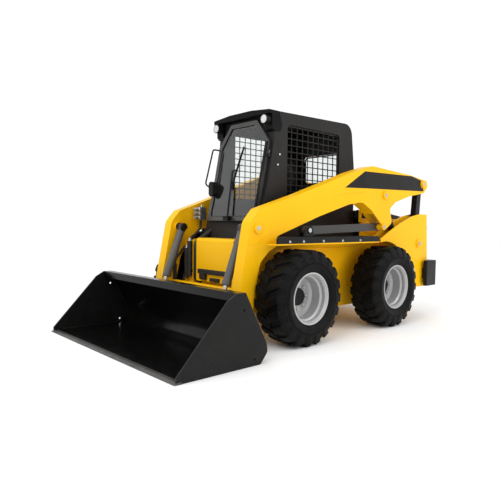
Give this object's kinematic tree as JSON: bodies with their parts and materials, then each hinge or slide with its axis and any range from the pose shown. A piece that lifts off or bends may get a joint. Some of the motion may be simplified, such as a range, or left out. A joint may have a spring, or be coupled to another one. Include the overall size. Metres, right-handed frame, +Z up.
{
  "type": "skid steer loader",
  "caption": "Compact wheeled loader with a hollow cab, vertical-lift arms on links, and a bucket on a quick-attach coupler.",
  "frame": {"origin": "on the ground, under the centre of the overall box", "axes": "+Z up, -Y forward to the bucket, +X to the machine's left"},
  "size_m": [2.096, 3.757, 2.1241],
  "materials": {
    "yellow": "satin",
    "charcoal": "satin",
    "bucket_black": "satin",
    "link_black": "satin",
    "cylinder_grey": "satin",
    "rod": "polished",
    "rim": "satin",
    "tyre": "matte",
    "glass": "clear",
    "steel": "worn",
    "seat": "matte",
    "console": "matte",
    "lamp": "clear",
    "engine": "matte",
    "rubber": "matte",
    "trim": "satin"
  },
  "bodies": {
    "chassis": {"main_frame": "yellow", "front_panel": "yellow", "fenders": "yellow", "step_rails": "link_black", "link_brackets": "link_black", "rear_uprights": "yellow", "upright_plates": "yellow", "rear_bumper": "bucket_black", "engine_block": "engine", "cab_frame": "charcoal", "side_screens": "charcoal", "rear_window": "glass", "seat_box": "console", "seat": "seat", "consoles": "console", "front_lamps": "lamp", "axle_stubs": "link_black", "roof_visor": "trim", "hull_hoses": "rubber"},
    "control_links": {"control_links": "link_black"},
    "lift_arms": {"arm_left": "yellow", "arm_right": "yellow", "arm_cross_tubes": "yellow", "aux_couplers": "steel", "arm_hoses": "rubber"},
    "rear_links": {"rear_links": "link_black"},
    "lift_barrels": {"lift_barrels": "cylinder_grey"},
    "lift_rods": {"lift_rods": "rod"},
    "tilt_barrels": {"tilt_barrels": "cylinder_grey"},
    "tilt_rods": {"tilt_rods": "rod"},
    "bucket": {"coupler": "bucket_black", "bucket": "bucket_black", "bucket_sides": "bucket_black", "cutting_edge": "steel"},
    "cab_door": {"door_frame": "charcoal", "door_glass": "glass", "door_fittings": "trim"},
    "rear_door": {"rear_door": "charcoal"},
    "hood": {"hood": "charcoal"},
    "wheel_fl": {"tyre_fl": "tyre", "rim_fl": "rim"},
    "wheel_fr": {"tyre_fr": "tyre", "rim_fr": "rim"},
    "wheel_rl": {"tyre_rl": "tyre", "rim_rl": "rim"},
    "wheel_rr": {"tyre_rr": "tyre", "rim_rr": "rim"}
  },
  "joints": [
    {"name": "wheel_fl_spin", "type": "hinge", "parent": "chassis", "child": "wheel_fl", "pos_m": [0.798, -0.4215, 0.416], "axis": [1, 0, 0], "continuous": true},
    {"name": "wheel_fr_spin", "type": "hinge", "parent": "chassis", "child": "wheel_fr", "pos_m": [-0.798, -0.4215, 0.416], "axis": [1, 0, 0], "continuous": true},
    {"name": "wheel_rl_spin", "type": "hinge", "parent": "chassis", "child": "wheel_rl", "pos_m": [0.798, 0.905, 0.416], "axis": [1, 0, 0], "continuous": true},
    {"name": "wheel_rr_spin", "type": "hinge", "parent": "chassis", "child": "wheel_rr", "pos_m": [-0.798, 0.905, 0.416], "axis": [1, 0, 0], "continuous": true},
    {"name": "lift", "type": "hinge", "parent": "chassis", "child": "control_links", "pos_m": [0, -0.2615, 0.994], "axis": [1, 0, 0], "range_deg": [0, 52]},
    {"name": "arm_swing", "type": "hinge", "parent": "control_links", "child": "lift_arms", "pos_m": [0, 0.8485, 1.03], "axis": [1, 0, 0], "range_deg": [-115.4, 0.1]},
    {"name": "rear_link_swing", "type": "hinge", "parent": "chassis", "child": "rear_links", "pos_m": [0, 1.5685, 0.846], "axis": [1, 0, 0], "range_deg": [-0.1, 40.4]},
    {"name": "lift_cylinder_swing", "type": "hinge", "parent": "chassis", "child": "lift_barrels", "pos_m": [0, 1.4465, 0.545], "axis": [1, 0, 0], "range_deg": [-8.4, 0.1]},
    {"name": "lift_rod_slide", "type": "slide", "parent": "lift_barrels", "child": "lift_rods", "axis": [0, -0.5772, 0.8166], "range_m": [-0.001, 0.659]},
    {"name": "bucket_tilt", "type": "hinge", "parent": "lift_arms", "child": "bucket", "pos_m": [0, -0.9215, 0.22], "axis": [1, 0, 0], "range_deg": [-28, 95]},
    {"name": "tilt_cylinder_swing", "type": "hinge", "parent": "lift_arms", "child": "tilt_barrels", "pos_m": [0, -0.7855, 1.011], "axis": [1, 0, 0], "range_deg": [-0.8, 2.4]},
    {"name": "tilt_rod_slide", "type": "slide", "parent": "tilt_barrels", "child": "tilt_rods", "axis": [0, -0.3576, -0.9339], "range_m": [-0.09, 0.302]},
    {"name": "cab_door_swing", "type": "hinge", "parent": "chassis", "child": "cab_door", "pos_m": [0.378, -0.51464, 1.18], "axis": [0, 0.2125, 0.9772], "range_deg": [0, 85]},
    {"name": "rear_door_swing", "type": "hinge", "parent": "chassis", "child": "rear_door", "pos_m": [0.512, 1.7285, 0.9], "axis": [0, 0, -1], "range_deg": [0, 95]},
    {"name": "hood_lift", "type": "hinge", "parent": "chassis", "child": "hood", "pos_m": [0, 0.8985, 1.204], "axis": [1, 0, 0], "range_deg": [0, 40]}
  ],
  "couplings": [
    {"joint": "arm_swing", "follows": "lift", "ratio": -2.2167},
    {"joint": "rear_link_swing", "follows": "lift", "ratio": 0.77394},
    {"joint": "lift_cylinder_swing", "follows": "lift", "ratio": -0.15856},
    {"joint": "lift_rod_slide", "follows": "lift", "m_per_rad": 0.72422},
    {"joint": "tilt_cylinder_swing", "follows": "bucket_tilt", "ratio": 0.023338},
    {"joint": "tilt_rod_slide", "follows": "bucket_tilt", "m_per_rad": 0.18133}
  ]
}
